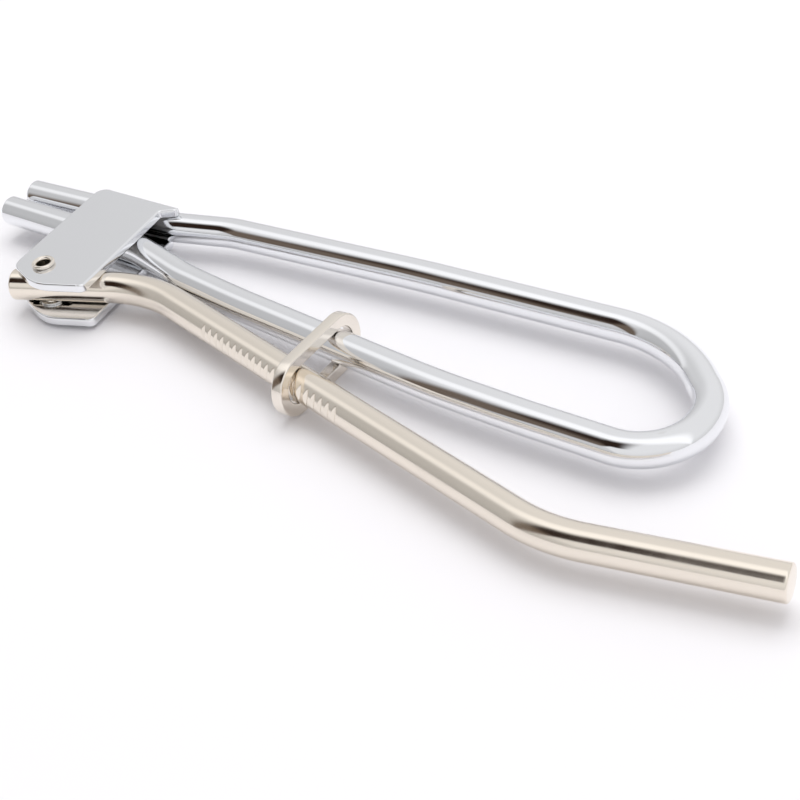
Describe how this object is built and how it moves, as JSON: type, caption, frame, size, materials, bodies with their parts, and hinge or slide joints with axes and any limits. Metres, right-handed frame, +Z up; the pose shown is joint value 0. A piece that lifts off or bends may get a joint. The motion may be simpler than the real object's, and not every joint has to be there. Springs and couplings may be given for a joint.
{
  "type": "staple remover",
  "caption": "Hand-squeezed bent-rod tool: a sprung rod loop and a notched lever pivot between two head plates, and a sliding ring locks the grip.",
  "frame": {"origin": "on the rivet's axis, level with the lowest point of the tool", "axes": "+X from the rivet towards the round end of the loop, +Y from the lever towards the loop's far leg, +Z up along the rivet"},
  "size_m": [0.1895, 0.0568, 0.011],
  "materials": {
    "chrome": "bright chrome plate",
    "nickel": "bright warm nickel plate",
    "washer_steel": "plain steel"
  },
  "bodies": {
    "head": {"upper_plate": "chrome", "lower_plate": "chrome", "loop_handle": "chrome", "pivot_rivet": "nickel", "upper_washer": "washer_steel", "lower_washer": "washer_steel"},
    "lever": {"lever_arm": "nickel"},
    "ring": {"lock_ring": "nickel"}
  },
  "joints": [
    {"name": "lever_pivot", "type": "hinge", "parent": "head", "child": "lever", "pos_m": [0, 0, 0.0055], "axis": [0, 0, -1], "range_deg": [0, 5]},
    {"name": "ring_slide", "type": "slide", "parent": "head", "child": "ring", "axis": [-0.9949, 0.1011, 0], "range_m": [0, 0.0272]}
  ],
  "couplings": [
    {"joint": "ring_slide", "follows": "lever_pivot", "m_per_rad": 0.3094}
  ]
}
